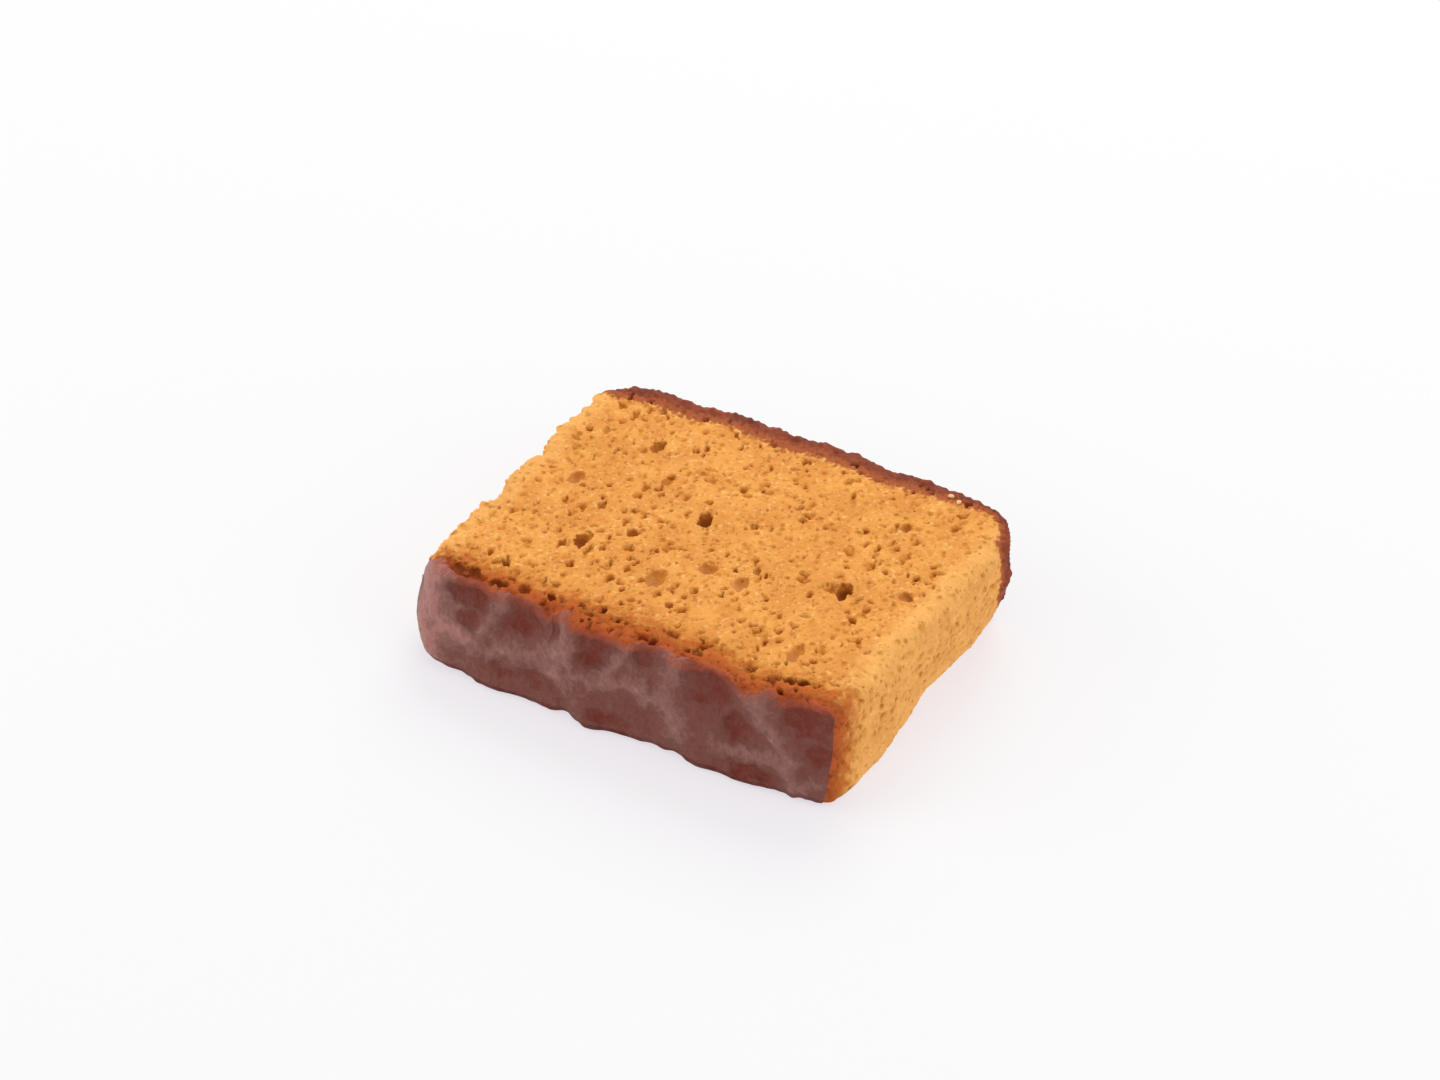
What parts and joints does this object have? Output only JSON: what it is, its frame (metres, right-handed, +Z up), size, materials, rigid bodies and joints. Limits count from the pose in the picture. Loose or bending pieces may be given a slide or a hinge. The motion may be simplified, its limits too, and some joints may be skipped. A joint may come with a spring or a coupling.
{
  "type": "cake slice",
  "caption": "Thick rectangular slice of golden date cake lying on its cut side, with open crumb, a smooth wrinkled base crust and a thin bumpy top crust.",
  "frame": {"origin": "under the middle of the slice's bounding box, on the surface that it lies on", "axes": "+X along the slice from its left cut end to its right one, +Y the way the cake rose, from the base crust to the top crust, +Z up out of the upper cut face"},
  "size_m": [0.1002, 0.0768, 0.0241],
  "materials": {
    "crumb": "baked crumb, matte and porous, golden on the cut faces and brown on the base and top crusts"
  },
  "bodies": {
    "root": {"cake_slice": "crumb"}
  },
  "joints": []
}
